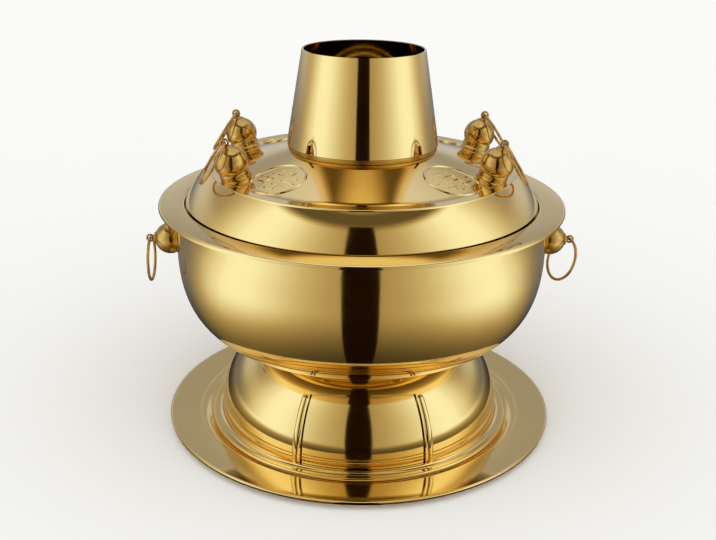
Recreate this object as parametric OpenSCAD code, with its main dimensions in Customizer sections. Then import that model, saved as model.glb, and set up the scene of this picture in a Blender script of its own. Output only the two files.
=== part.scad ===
// Chimney hot pot: a ring-shaped soup bowl around a charcoal tube, on a bell-shaped base and a tray.
// Millimetres, +Z up. The origin is the centre of the tray's underside. -Y is the front, where the
// air window is, and the side handles lie along X.

/* [Tray] */
// Outer radius of the tray
tray_r = 169.5; // [160:0.5:180]
// Height of the tray's outer edge above the table
tray_h = 8; // [6:0.5:12]
// Radius of the flat floor that the base stands on
tray_floor_r = 134; // [133.5:0.5:136]
// Radius at which the well meets the flange
tray_well_r = 142.8; // [142:0.2:146]
// Sheet thickness of the tray
tray_wall = 1.6; // [1:0.1:2.5]

/* [Base] */
// Radius of the base at its widest, just above the foot
base_r = 123; // [118:0.5:125]
// Radius of the arc that rounds the base inwards to the bowl
base_round = 74; // [70:0.5:78]
// Outer radius of the foot's wired edge
foot_r = 132.4; // [130:0.2:133]
// Thickness of the foot's wired edge
foot_bead = 3; // [2:0.1:4]
// Sheet thickness of the base
base_wall = 1.5; // [1:0.1:2]

/* [Air window] */
// Half of the angle that the air window spans, seen from above
window_half_angle = 24.6; // [15:0.1:28]
// Height of the window's sill
window_sill_z = 6.5; // [6:0.1:12]
// Height of the window's top edge at its ends
window_top_z = 60; // [45:0.5:62]
// Slope at which the top edge rises towards the front, which arches it
window_arch_angle = 21; // [0:1:25]
// Width of the two stiffening ribs beside the window
rib_w = 7.2; // [4:0.2:10]
// Height at which the ribs' round upper ends are centred
rib_top_z = 57; // [40:1:60]
// Sheet thickness of the shutter behind the window
shutter_wall = 1.2; // [0.8:0.1:1.8]
// How far the shutter reaches past the window on each side, as an angle
shutter_lap_angle = 3.5; // [2:0.5:6]
// Angle that the shutter turns to open the window
shutter_travel = 52; // [20:1:60]

/* [Bowl] */
// Radius of the bowl at its widest
bowl_r = 156.3; // [150:0.1:162]
// Height of the widest point
bowl_belly_z = 169.3; // [150:0.1:175]
// Height of the bowl's underside at the middle
bowl_bottom_z = 76; // [74:0.5:78]
// Radius at which the underside starts to curve up
bowl_flat_r = 57.8; // [55:0.2:60]
// How square the bowl's lower curve is: 2 is an ellipse
bowl_squareness = 2.83; // [2:0.01:3.5]
// How far the mouth stands in from the bowl's widest radius
mouth_inset = 10.3; // [8:0.1:16]
// Outer radius of the brim
brim_r = 170; // [164:0.5:176]
// Height of the brim's top face above the table
brim_z = 199.6; // [190:0.2:206]
// Depth of the brim's turned-down edge
brim_lip = 3; // [2:0.1:6]
// Sheet thickness of the bowl
bowl_wall = 1.6; // [1:0.1:2]

/* [Fire tube and grate] */
// Outer radius of the tube where the bowl is welded to it
tube_foot_r = 61; // [58:0.5:61]
// Outer radius of the tube at its top
tube_top_r = 54; // [52:0.5:55]
// Height of the tube's top above the table
tube_top_z = 256; // [250:0.5:262]
// Wall of the tube
tube_wall = 2; // [1.5:0.1:2]
// Radius of the hole in the hearth ring
hearth_hole_r = 43; // [38:0.5:44]
// Thickness of the hearth ring
hearth_t = 3; // [2:0.1:5]
// Height of the hearth ring's top above the table
hearth_z = 84; // [82:0.5:95]
// Radius of the charcoal grate
grate_r = 46; // [45.5:0.1:48]
// Thickness of the charcoal grate
grate_t = 4; // [3:0.1:6]
// Width of the grate's slots
grate_slot_w = 6; // [3:0.2:7]

/* [Lid] */
// How far the lid's lower edge stands outside the bowl's mouth
lid_seat = 1.5; // [1:0.1:4]
// How far the sharp shoulder stands in from the lid's lower edge
shoulder_inset = 18.3; // [14:0.1:24]
// Height of the shoulder above the lid's lower edge
shoulder_h = 27.4; // [20:0.2:34]
// Width of the nearly level band inside the shoulder
shoulder_w = 13.2; // [8:0.1:18]
// Height of the slope's upper end above the lid's lower edge
crown_h = 42.1; // [38:0.1:46]
// Radius of the slope's upper end
crown_r = 64; // [63.6:0.1:68]
// How far the lid's side bulges from a straight line
lid_bulge = 1.2; // [0.4:0.1:2]
// Sheet thickness of the lid
lid_wall = 1.5; // [1:0.1:2]
// Depth of the guide ring that hangs inside the bowl's mouth
guide_depth = 8; // [5:0.5:15]

/* [Chimney] */
// Outer radius of the chimney at its lower edge
chimney_foot_r = 62.8; // [62.5:0.1:63.4]
// Outer radius of the chimney at its top
chimney_top_r = 50.3; // [50:0.1:54]
// Height of the chimney
chimney_h = 76.5; // [60:0.5:100]
// Sheet thickness of the chimney
chimney_wall = 1.5; // [1:0.1:1.6]
// Height of the seat ring that the chimney stands on
seat_ring_h = 4.5; // [3:0.1:6]
// Width of the four notches in the chimney's lower edge
notch_w = 4; // [2:0.2:6]
// Height of the notches
notch_h = 7; // [4:0.2:10]

/* [Knobs] */
// Diameter of the ball
ball_d = 26.6; // [22:0.2:28]
// Distance from the ball's centre down to the face that it is cut at
ball_cut = 6.4; // [5:0.1:8]
// Height of the collar under a lid knob's ball
collar_h = 8; // [6:0.1:10]
// Radius of the collar's foot
collar_r = 12.9; // [12:0.1:14]
// Thickness of the flange under a side handle's ball
flange_t = 0.8; // [0.6:0.1:2]
// How far the lid knobs stand in from the start of the slope
knob_inset = 3.5; // [2:0.5:10]
// Angle of the lid knobs from the X axis
knob_angle = 26; // [20:0.5:32]
// Height of the side handles above the table
handle_z = 161.5; // [140:0.5:172]
// Diameter of the stud that passes through the sheet
stud_d = 5; // [4:0.5:6]
// Width across the flats of the nuts inside
nut_w = 8; // [7:0.5:10]

/* [Rings] */
// Outer diameter of the rings
ring_d = 39.5; // [37:0.5:42]
// Diameter of the ring wire
ring_wire = 2.4; // [2:0.1:3]
// Diameter of the wire that the eyes are bent from
eye_wire = 1.8; // [1.6:0.1:2.2]
// Angle between a lid ring and the vertical
lid_ring_lean = 32; // [25:1:60]
// Angle from the X axis of the side to which a lid ring falls
lid_ring_turn = 6; // [0:1:12]
// Angle by which the right side ring is turned about the vertical
right_ring_turn = 20; // [0:1:30]
// Angle by which the right side ring leans in against the bowl
right_ring_lean = 21; // [0:1:25]

/* [Medallions] */
// Outer diameter of the raised border
medallion_d = 47; // [40:0.5:50]
// How far the medallions' centres stand in from the start of the slope
medallion_inset = 20; // [18:0.5:24]
// Height of the relief
relief_h = 0.9; // [0.5:0.1:1.5]
// Width of the raised lines
relief_w = 1.6; // [1:0.1:2]

/* [Fit] */
// Gap between pieces that lift off each other
seat_gap = 0.3; // [0.2:0.1:0.6]
// Gap around pieces that slide inside others
slide_gap = 0.5; // [0.4:0.1:0.8]
// Gap between the ring wire and the hole of its eye
ring_gap = 0.7; // [0.5:0.1:1]

/* [Hidden] */
$fn = 96;
base_z = tray_wall + seat_gap;                 // underside of the foot
base_arc = [base_r - base_round, base_z + 7];  // centre of the base's arc, as radius and height
shutter_arc_r = base_round - base_wall - slide_gap;
rib_swell = 0.1;                               // by which a rib's round ends are wider than the rib
rib_angle = window_half_angle + asin(rib_w / 2 / base_r) + 0.2;
shutter_low_angle = asin((window_sill_z - 1 - base_arc[1]) / shutter_arc_r);
shutter_high_angle = asin((window_top_z + 6.5 - base_arc[1]) / shutter_arc_r);
shutter_half_angle = window_half_angle + shutter_lap_angle;
mouth_r = bowl_r - mouth_inset;
lid_r = mouth_r + lid_seat;
shoulder_r = lid_r - shoulder_inset;
slope_r = shoulder_r - shoulder_w;
knob_r = slope_r - knob_inset;
medallion_r = slope_r - medallion_inset;
lid_z = brim_z + seat_gap;                     // lid's lower edge
shoulder_z = lid_z + shoulder_h;
crown_z = lid_z + crown_h;
slope_z = shoulder_z - 0.6;
crown_slope = atan((crown_z - slope_z) / (slope_r - crown_r));
neck_r = chimney_foot_r - chimney_wall - 1.5;  // outside of the lid's neck
neck_top_z = crown_z + 11;
chimney_z = crown_z + seat_ring_h + seat_gap;
chimney_slope = (chimney_foot_r - chimney_top_r) / chimney_h;
tube_z = bowl_bottom_z - 4;
tube_slope = (tube_foot_r - tube_top_r) / (tube_top_z - tube_z);
ball_r = ball_d / 2;
cap_top = ball_r + 0.8;                        // heights of the cap and eye above the ball's centre
eye_hole_r = ring_wire / 2 + ring_gap;
eye_up = cap_top + eye_wire + eye_hole_r - 0.5;
lid_ball_z = collar_h + ball_cut;              // balls' centres above the sheet
side_ball_z = flange_t + ball_cut;
ring_mean_r = (ring_d - ring_wire) / 2;
knob_z = crown_z - (knob_r - crown_r) * tan(crown_slope);
medallion_z = crown_z - (medallion_r - crown_r) * tan(crown_slope);
// Azimuth of each lid knob, and of the side to which its ring falls
LID_KNOBS = [
    [-knob_angle, -lid_ring_turn],
    [knob_angle, lid_ring_turn],
    [180 - knob_angle, 180 - lid_ring_turn],
    [180 + knob_angle, 180 + lid_ring_turn]
];

GOLD = "goldenrod";
DARK_GOLD = "darkgoldenrod";
BRONZE = "peru";
IRON = "dimgray";

// ---- Outlines and sheets ----

function unit(v) = v / norm(v);
function left_of(v) = [-v[1], v[0]];
function edge_side(pts, i) = left_of(unit(pts[i + 1] - pts[i]));
// Offset direction at point i of an outline, long enough to keep the sheet's thickness at corners
function mitre(pts, i) =
    i == 0 ? edge_side(pts, 0) :
    i == len(pts) - 1 ? edge_side(pts, i - 1) :
    let (a = edge_side(pts, i - 1), b = edge_side(pts, i)) (a + b) / (1 + a * b);
function offset_outline(pts, t) = [for (i = [0:len(pts) - 1]) pts[i] + t * mitre(pts, i)];
function reversed(pts) = [for (i = [len(pts) - 1:-1:0]) pts[i]];
// Point at an angle on a circle about a centre, in the radius-height plane
function on_arc(centre, r, angle) = centre + r * [cos(angle), sin(angle)];
function arc(centre, r, from, to, steps) =
    [for (i = [0:steps]) on_arc(centre, r, from + (to - from) * i / steps)];

// A sheet of thickness t, to the left of an outline, spun about the axis
module spun_sheet(pts, t) {
    rotate_extrude()
        polygon(concat(pts, reversed(offset_outline(pts, t))));
}
// The part of a spun sheet between two points of its outline
module spun_band(pts, t, from, to) {
    other = offset_outline(pts, t);
    rotate_extrude()
        polygon(concat([for (i = [from:to]) pts[i]], [for (i = [to:-1:from]) other[i]]));
}

// Placement on the lid's slope, with +Z along the lid's normal and +X outwards
module on_lid(azimuth, r, z) {
    rotate([0, 0, azimuth]) translate([r, 0, z]) rotate([0, crown_slope, 0]) children();
}

// Placement on the bowl's belly, with +Z pointing out of the bowl
module on_belly(azimuth) {
    rotate([0, 0, azimuth]) translate([belly_r(handle_z), 0, handle_z]) rotate([0, 90, 0]) children();
}

// ---- Tray ----

tray_outline = [
    [0, tray_wall], [tray_floor_r, tray_wall],
    [tray_well_r - 5, tray_h - 3.8], [tray_well_r - 0.8, tray_h - 3.4],
    [tray_well_r, tray_h - 2], [tray_r - 1.6, tray_h],
    [tray_r - 0.6, tray_h - 0.4], [tray_r, tray_h - 1.4], [tray_r, tray_h - 3.2]
];

module tray() color(GOLD)
    spun_sheet(tray_outline, -tray_wall);

// ---- Base with its air window ----

// Angle on the base's arc at which its outside reaches a height
function base_angle(z) = asin((z - base_arc[1]) / base_round);
// Outer radius of the base at a height
function base_outer_r(z) = on_arc(base_arc, base_round, base_angle(z))[0];
// The base runs up to the bowl's underside and is welded into its sheet
base_top_angle = base_angle(underside_z(base_outer_r(bowl_bottom_z)) + 0.05);

// The foot is turned out from the base and wired; it carries the base's lower edge
foot_top_z = base_z + base_wall + 1;
foot_outline = [[foot_r - foot_bead / 2, base_z + base_wall], [base_r + 2.5, base_z + base_wall],
                [base_r + 0.6, foot_top_z], [base_outer_r(foot_top_z + 0.6), foot_top_z + 0.6]];
base_outline = arc(base_arc, base_round, base_angle(foot_top_z + 0.6), base_top_angle, 16);
base_end = base_outline[0] + base_wall * edge_side(base_outline, 0);

// Space in front of the axis, between the window's two sides and under its arched top
module window_cut() {
    reach = foot_r - 1;
    intersection() {
        linear_extrude(height = bowl_bottom_z)
            polygon([[0, 0], reach * [-sin(window_half_angle), -1], reach * [sin(window_half_angle), -1]]);
        rotate([90, 0, 90])
            linear_extrude(height = 2 * reach, center = true)
                polygon([[-reach, window_sill_z], [-base_arc[0], window_sill_z],
                         [-base_arc[0], window_rise(base_arc[0])], [-reach, window_rise(reach)]]);
    }
}
// Height of the window's top edge at a distance in front of the axis
window_end_y = base_outer_r(window_top_z) * cos(window_half_angle);
function window_rise(y) = window_top_z + (y - window_end_y) * tan(window_arch_angle);

// One pill-shaped rib that follows the base's arc, half sunk in the sheet
module rib(azimuth) {
    low = base_angle(base_z + base_wall + 1.8 + rib_w / 2);
    high = base_angle(rib_top_z);
    rib_path = base_round - rib_w / 4;
    rotate([0, 0, azimuth]) translate([base_arc[0], 0, base_arc[1]]) rotate([90, 0, 0]) {
        rotate([0, 0, low]) rotate_extrude(angle = high - low) translate([rib_path, 0]) circle(d = rib_w);
        for (angle = [low, high])
            translate(rib_path * [cos(angle), sin(angle), 0]) sphere(d = rib_w + rib_swell);
    }
}

// Space inside the middle of the base's sheet, which trims the ribs
module base_inside() {
    middle = base_round - base_wall / 2;
    rotate_extrude()
        polygon(concat([[0, -1], [base_arc[0] + middle - 0.3, -1]], arc(base_arc, middle, -3, base_top_angle, 16),
                       [[0, bowl_bottom_z - base_wall]]));
}

module base_skirt() color(GOLD)
    difference() {
        union() {
            spun_sheet(base_outline, base_wall);
            difference() {
                for (side = [-1, 1]) rib(-90 + side * rib_angle);
                base_inside();
            }
        }
        window_cut();
    }

module base_foot() color(GOLD)
    union() {
        rotate_extrude()
            polygon(concat(foot_outline, [base_end, [base_end[0], base_z + base_wall + 0.4],
                                          [base_end[0] + 0.6, base_z], [foot_r - foot_bead / 2, base_z]]));
        rotate_extrude() translate([foot_r - foot_bead / 2, base_z + foot_bead / 2]) circle(d = foot_bead);
    }

// A band that follows the base's arc, between two arc radii and two arc angles
module arc_band(inner, outer, low, high, azimuth, span) {
    rotate([0, 0, azimuth - span / 2])
        rotate_extrude(angle = span)
            polygon(concat(arc(base_arc, outer, low, high, 10), arc(base_arc, inner, high, low, 10)));
}

module air_shutter() color(GOLD)
    arc_band(shutter_arc_r - shutter_wall, shutter_arc_r, shutter_low_angle, shutter_high_angle,
             -90, 2 * shutter_half_angle);

rail_span = 2 * shutter_half_angle + shutter_travel + 2;
rail_t = 1.6;
rail_inner_r = shutter_arc_r - shutter_wall - slide_gap - rail_t;

// Curved strip behind an edge of the shutter, from its tip to its back, with a ledge at the back
// that reaches out to the base and holds the shutter's edge
module rail(tip, ledge, back) color(DARK_GOLD)
    rotate([0, 0, shutter_travel / 2 - 90 - rail_span / 2])
        rotate_extrude(angle = rail_span)
            polygon(concat(arc(base_arc, rail_inner_r, tip, back, 4),
                           arc(base_arc, base_round - base_wall - 0.05, back, ledge, 2),
                           arc(base_arc, rail_inner_r + rail_t, ledge, tip, 4)));

module shutter_rail_upper() rail(shutter_high_angle - 2.5, shutter_high_angle + 0.6, shutter_high_angle + 2.5);
module shutter_rail_lower() rail(shutter_low_angle + 3, shutter_low_angle - 0.4, shutter_low_angle - 1.8);

// ---- Bowl ----

// Lower curve of the bowl: a superellipse from the flat bottom up to the belly
function bowl_curve(angle) = [
    bowl_flat_r + (bowl_r - bowl_flat_r) * pow(cos(angle), 2 / bowl_squareness),
    bowl_belly_z - (bowl_belly_z - bowl_bottom_z) * pow(sin(angle), 2 / bowl_squareness)
];
// Upper curve: a quarter ellipse from the belly in to the mouth
bowl_neck_r = mouth_r + bowl_wall + 1;
bowl_neck_z = brim_z - bowl_wall - 1;
function neck_curve(angle) = [
    bowl_neck_r + (bowl_r - bowl_neck_r) * cos(angle),
    bowl_belly_z + (bowl_neck_z - bowl_belly_z) * sin(angle)
];
// Height of the underside at a radius
function underside_z(r) = bowl_curve(acos(pow((r - bowl_flat_r) / (bowl_r - bowl_flat_r), bowl_squareness / 2)))[1];
// Outer radius of the bowl at a height
function belly_r(z) =
    z > bowl_belly_z
    ? neck_curve(asin((z - bowl_belly_z) / (bowl_neck_z - bowl_belly_z)))[0]
    : bowl_flat_r + (bowl_r - bowl_flat_r)
      * pow(cos(asin(pow((bowl_belly_z - z) / (bowl_belly_z - bowl_bottom_z), bowl_squareness / 2))),
            2 / bowl_squareness);

bowl_outline = concat(
    [[tube_foot_r, bowl_bottom_z]],
    [for (i = [1:17]) bowl_curve(90 - 5 * i)],
    [for (i = [0:8]) neck_curve(10 * i)],
    [[bowl_neck_r, bowl_neck_z]]);
bowl_inside = offset_outline(bowl_outline, bowl_wall);
last = len(bowl_outline) - 1;
// The bowl is one sheet, described as three bands that meet edge to edge
bend_start = 7;
bend_end = 13;

module bowl_lower() color(GOLD) spun_band(bowl_outline, bowl_wall, 0, bend_start);
module bowl_bend() color(GOLD) spun_band(bowl_outline, bowl_wall, bend_start, bend_end);
module bowl_upper() color(GOLD)
    difference() {
        spun_band(bowl_outline, bowl_wall, bend_end, last);
        for (azimuth = [0, 180]) on_belly(azimuth) cylinder(d = stud_d + 0.4, h = 12, center = true);
    }

// The brim is welded on where the bowl's wall ends, and its edge is turned down
module bowl_brim() color(GOLD)
    rotate_extrude()
        polygon([bowl_inside[last], bowl_outline[last],
                 [bowl_neck_r + 1, brim_z - bowl_wall], [brim_r - 2 - bowl_wall, brim_z - bowl_wall],
                 [brim_r - 0.5 - bowl_wall, brim_z - bowl_wall - 0.6], [brim_r - bowl_wall, brim_z - brim_lip],
                 [brim_r, brim_z - brim_lip], [brim_r, brim_z - 1], [brim_r - 1, brim_z],
                 [bowl_inside[last][0] + 0.6, brim_z]]);

// ---- Fire tube, hearth and grate ----

// Outer radius of the tube at a height; it is straight where the bowl is welded on
tube_straight = bowl_bottom_z + bowl_wall + 2;
function tube_r(z) = z < tube_straight ? tube_foot_r
    : tube_foot_r - (z - tube_straight) * (tube_foot_r - tube_top_r) / (tube_top_z - tube_straight);

module fire_tube() color(DARK_GOLD)
    rotate_extrude()
        polygon([[tube_foot_r - tube_wall, tube_z], [tube_foot_r, tube_z], [tube_foot_r, tube_straight],
                 [tube_top_r, tube_top_z - 1], [tube_top_r - 0.5, tube_top_z],
                 [tube_top_r - tube_wall, tube_top_z], [tube_foot_r - tube_wall, tube_straight]]);

module hearth_ring() color(IRON)
    translate([0, 0, hearth_z - hearth_t])
        difference() {
            cylinder(r = tube_r(hearth_z) - tube_wall, h = hearth_t);
            translate([0, 0, -1]) cylinder(r = hearth_hole_r, h = hearth_t + 2);
        }

// Round grate with parallel slots, each as long as the disc allows
module charcoal_grate() color(IRON)
    translate([0, 0, hearth_z + seat_gap])
        difference() {
            cylinder(r = grate_r, h = grate_t);
            pitch = 2 * grate_slot_w;
            for (x = [-3 * pitch:pitch:3 * pitch])
                if (abs(x) + grate_slot_w < grate_r - 6) {
                    half = sqrt(pow(grate_r - 6, 2) - pow(abs(x) + grate_slot_w / 2, 2));
                    translate([x - grate_slot_w / 2, -half, -1]) cube([grate_slot_w, 2 * half, grate_t + 2]);
                }
        }

// ---- Lid ----

// The side bulges outwards as an arc through its two ends
side_chord = [shoulder_r - lid_r, shoulder_h - 1];
side_arc_r = (pow(norm(side_chord) / 2, 2) + pow(lid_bulge, 2)) / (2 * lid_bulge);
function side_point(t) =
    let (along = unit(side_chord), out = [along[1], -along[0]],
         s = (t - 0.5) * norm(side_chord),
         rise = sqrt(pow(side_arc_r, 2) - s * s) - (side_arc_r - lid_bulge))
    [lid_r, lid_z] + side_chord / 2 + s * along + rise * out;

// The lid's sheet is described as a side, a top and a neck that meet edge to edge
lid_outline = concat(
    [for (i = [0:8]) side_point(i / 8)],
    [[shoulder_r - 0.5, shoulder_z - 0.3], [shoulder_r - 1.3, shoulder_z], [slope_r, slope_z],
     [crown_r, crown_z], [crown_r - 2, crown_z + 0.8], [neck_r, crown_z + 2.2], [neck_r, neck_top_z]]);
shoulder_i = 8;
crown_i = 12;

// Outline of the relief, the same from both sides: a raised border around a fret of bars
module fret_outline() {
    field = medallion_d / 2 - 2.2 * relief_w;
    bar_pitch = field / 3;
    difference() {
        circle(d = medallion_d);
        circle(d = medallion_d - 2 * relief_w);
    }
    for (side = [-1, 1], row = [-1, 1]) {
        translate([side * 2 * bar_pitch - relief_w / 2, -0.35 * field]) square([relief_w, 0.7 * field]);
        translate([side * bar_pitch - relief_w / 2, -0.75 * field]) square([relief_w, 1.5 * field]);
        translate([min(side, 0) * 2 * bar_pitch, row * 0.35 * field - relief_w / 2])
            square([2 * bar_pitch, relief_w]);
    }
    translate([-relief_w / 2, -0.9 * field]) square([relief_w, 1.8 * field]);
}

// Band over the lid's slope, from inside the sheet to the height of the relief
module relief_band() {
    slope = [[shoulder_r - 1.5, shoulder_z], [slope_r, slope_z], [crown_r, crown_z]];
    rotate_extrude()
        polygon(concat(offset_outline(slope, lid_wall / 2), reversed(offset_outline(slope, -relief_h))));
}

module lid_side() color(GOLD) spun_band(lid_outline, lid_wall, 0, shoulder_i);

module lid_top() color(GOLD)
    difference() {
        union() {
            spun_band(lid_outline, lid_wall, shoulder_i, crown_i);
            intersection() {
                relief_band();
                for (azimuth = [45:90:315])
                    on_lid(azimuth, medallion_r, medallion_z)
                        linear_extrude(height = 16, center = true) fret_outline();
            }
        }
        for (knob = LID_KNOBS) on_lid(knob[0], knob_r, knob_z) cylinder(d = stud_d + 0.4, h = 12, center = true);
    }

module lid_neck() color(GOLD) spun_band(lid_outline, lid_wall, crown_i, len(lid_outline) - 1);

guide_r = mouth_r - slide_gap;
module lid_guide_ring() color(DARK_GOLD)
    translate([0, 0, lid_z - guide_depth])
        rotate_extrude()
            polygon([[guide_r - 1.5, 0], [guide_r - 0.6, 0], [guide_r, 1], [guide_r, guide_depth + 0.3],
                     [guide_r - 1.5, guide_depth + 0.3]]);

module chimney_seat_ring() color(DARK_GOLD)
    rotate_extrude()
        polygon([[neck_r + 0.05, crown_z + 2.3], [neck_r + 1, crown_z + 1.6], [chimney_foot_r - 0.7, crown_z + 0.8],
                 [chimney_foot_r - 0.7, crown_z + seat_ring_h], [neck_r + 0.05, crown_z + seat_ring_h]]);

// ---- Chimney ----

module chimney() color(GOLD)
    translate([0, 0, chimney_z])
        difference() {
            rotate_extrude()
                polygon([[chimney_foot_r - chimney_wall, 0], [chimney_foot_r, 0],
                         [chimney_top_r, chimney_h - 0.6], [chimney_top_r - 0.4, chimney_h],
                         [chimney_top_r - chimney_wall + 0.4, chimney_h],
                         [chimney_top_r - chimney_wall, chimney_h - 0.6]]);
            for (azimuth = [45:90:315]) rotate([0, 0, azimuth])
                translate([chimney_foot_r - 10, -notch_w / 2, -1]) cube([20, notch_w, notch_h + 1]);
        }

// ---- Knobs, eyes and rings, drawn on a local +Z that points away from the sheet ----

// The stud that holds a knob, through the sheet
module stud() translate([0, 0, -5.5]) cylinder(d = stud_d, h = 6);

// Turned collar that carries a lid knob's ball
module knob_collar() {
    rotate_extrude()
        polygon([[0, -1], [collar_r - 0.2, -1], [collar_r, 1.2], [collar_r - 0.6, 2.2], [collar_r - 1, 3],
                 [collar_r - 1, collar_h - 1], [collar_r - 1.8, collar_h], [0, collar_h]]);
    stud();
}

// Thin flange under a side handle's ball
module side_flange() {
    translate([0, 0, -1.2]) cylinder(r = collar_r, h = flange_t + 1.2);
    stud();
}

// Ball cut flat at its foot, with a cap on top, drawn about its centre
module knob_ball() {
    difference() {
        sphere(r = ball_r);
        translate([0, 0, -ball_cut - ball_r]) cylinder(r = ball_r, h = ball_r);
    }
    translate([0, 0, ball_r - 1.5]) cylinder(r = 5, h = cap_top - ball_r + 0.7);
    translate([0, 0, ball_r - 1]) cylinder(r = 3.4, h = cap_top - ball_r + 1);
}

// Closed eye that stands on a ball's cap, with its hole across the plane that the ring swings in
module knob_eye(turn)
    rotate([0, 0, turn]) {
        difference() {
            translate([0, 0, eye_up]) rotate([90, 0, 0])
                rotate_extrude() translate([eye_hole_r + eye_wire / 2, 0]) circle(d = eye_wire, $fn = 32);
            translate([0, 0, cap_top - eye_wire]) cylinder(r = eye_wire * 2, h = eye_wire);
        }
        translate([0, 0, cap_top]) cylinder(d = eye_wire * 1.4, h = eye_wire * 0.6);
    }

// Ring through a point, hanging towards -Z, with its hinge along Y
module hanging_ring() translate([0, 0, -ring_mean_r]) rotate([0, 90, 0])
    rotate_extrude() translate([ring_mean_r, 0]) circle(d = ring_wire, $fn = 32);

// Solid up to the outside of the lid's top, which a collar's foot is cut to
module lid_block()
    rotate_extrude($fn = 480)
        polygon([[0, lid_z], [shoulder_r, lid_z], [shoulder_r, shoulder_z - 0.3], [shoulder_r - 1.3, shoulder_z],
                 [slope_r, slope_z], [crown_r, crown_z], [0, crown_z]]);

module lid_collar(i) color(BRONZE)
    difference() {
        on_lid(LID_KNOBS[i][0], knob_r, knob_z) knob_collar();
        difference() {
            lid_block();
            on_lid(LID_KNOBS[i][0], knob_r, knob_z) cylinder(d = stud_d + 0.2, h = 16, center = true);
        }
    }
module on_lid_ball(i) on_lid(LID_KNOBS[i][0], knob_r, knob_z) translate([0, 0, lid_ball_z]) children();
module lid_ball(i) color(BRONZE) on_lid_ball(i) knob_ball();
module lid_eye(i) color(BRONZE) on_lid_ball(i) knob_eye(LID_KNOBS[i][1] - LID_KNOBS[i][0]);
lid_eye_z = lid_ball_z + eye_up;
lid_eye_r = knob_r + lid_eye_z * sin(crown_slope);
module lid_ring(i) color(BRONZE)
    translate([lid_eye_r * cos(LID_KNOBS[i][0]), lid_eye_r * sin(LID_KNOBS[i][0]),
               knob_z + lid_eye_z * cos(crown_slope)])
        rotate([0, 0, LID_KNOBS[i][1]]) rotate([0, -lid_ring_lean, 0]) hanging_ring();

module nut() {
    difference() {
        cylinder(d = nut_w / cos(30), h = 3, $fn = 6);
        translate([0, 0, -1]) cylinder(d = stud_d + 0.1, h = 5);
    }
}

module lid_knob_nuts() color(IRON)
    for (knob = LID_KNOBS) on_lid(knob[0], knob_r, knob_z) translate([0, 0, -lid_wall - 3.1]) nut();

// Solid up to the outside of the bowl, which a side flange is cut to
module bowl_block()
    rotate_extrude($fn = 480)
        polygon(concat([[0, bowl_bottom_z]], [for (i = [1:17]) bowl_curve(90 - 5 * i)],
                       [for (i = [0:9]) neck_curve(10 * i)], [[0, bowl_neck_z]]));

module side_collar(azimuth) color(BRONZE)
    difference() {
        on_belly(azimuth) side_flange();
        difference() {
            bowl_block();
            on_belly(azimuth) cylinder(d = stud_d + 0.2, h = 16, center = true);
        }
    }
module on_side_ball(azimuth) on_belly(azimuth) translate([0, 0, side_ball_z]) children();
module side_ball(azimuth) color(BRONZE) on_side_ball(azimuth) knob_ball();
module side_eye(azimuth) color(BRONZE) on_side_ball(azimuth) knob_eye(0);
module side_ring(azimuth, turn, lean) color(BRONZE)
    rotate([0, 0, azimuth]) translate([belly_r(handle_z) + side_ball_z + eye_up, 0, handle_z])
        rotate([0, 0, turn]) rotate([0, lean, 0]) hanging_ring();

module handle_nuts() color(IRON)
    for (azimuth = [0, 180]) on_belly(azimuth) translate([0, 0, -bowl_wall - 3.3]) nut();

tray();
base_skirt();
base_foot();
bowl_lower();
bowl_bend();
bowl_upper();
bowl_brim();
fire_tube();
hearth_ring();
charcoal_grate();
air_shutter();
shutter_rail_upper();
shutter_rail_lower();
lid_side();
lid_top();
lid_neck();
lid_guide_ring();
chimney_seat_ring();
chimney();
lid_collar(0);  // front_right_knob_collar
lid_ball(0);  // front_right_knob_ball
lid_eye(0);  // front_right_knob_eye
lid_ring(0);  // front_right_ring
lid_collar(1);  // back_right_knob_collar
lid_ball(1);  // back_right_knob_ball
lid_eye(1);  // back_right_knob_eye
lid_ring(1);  // back_right_ring
lid_collar(2);  // back_left_knob_collar
lid_ball(2);  // back_left_knob_ball
lid_eye(2);  // back_left_knob_eye
lid_ring(2);  // back_left_ring
lid_collar(3);  // front_left_knob_collar
lid_ball(3);  // front_left_knob_ball
lid_eye(3);  // front_left_knob_eye
lid_ring(3);  // front_left_ring
lid_knob_nuts();
side_collar(0);  // right_handle_collar
side_ball(0);  // right_handle_ball
side_eye(0);  // right_handle_eye
side_ring(0, right_ring_turn, right_ring_lean);  // right_handle_ring
side_collar(180);  // left_handle_collar
side_ball(180);  // left_handle_ball
side_eye(180);  // left_handle_eye
side_ring(180, 0, 0);  // left_handle_ring
handle_nuts();
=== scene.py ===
"""Finish for the chimney hot pot: mirror-polished gold sheet metal, aged brass knobs and rings, black
iron inside, and a soft studio around it.

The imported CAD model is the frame. The visible shells are made again as smooth spun surfaces in the same
places; the hidden pieces keep their CAD shape and get a finish.
"""

import math

import bpy
import numpy as np
from bpy.props import FloatProperty, FloatVectorProperty, IntProperty, PointerProperty
from mathutils import Euler, Matrix, Vector


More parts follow.
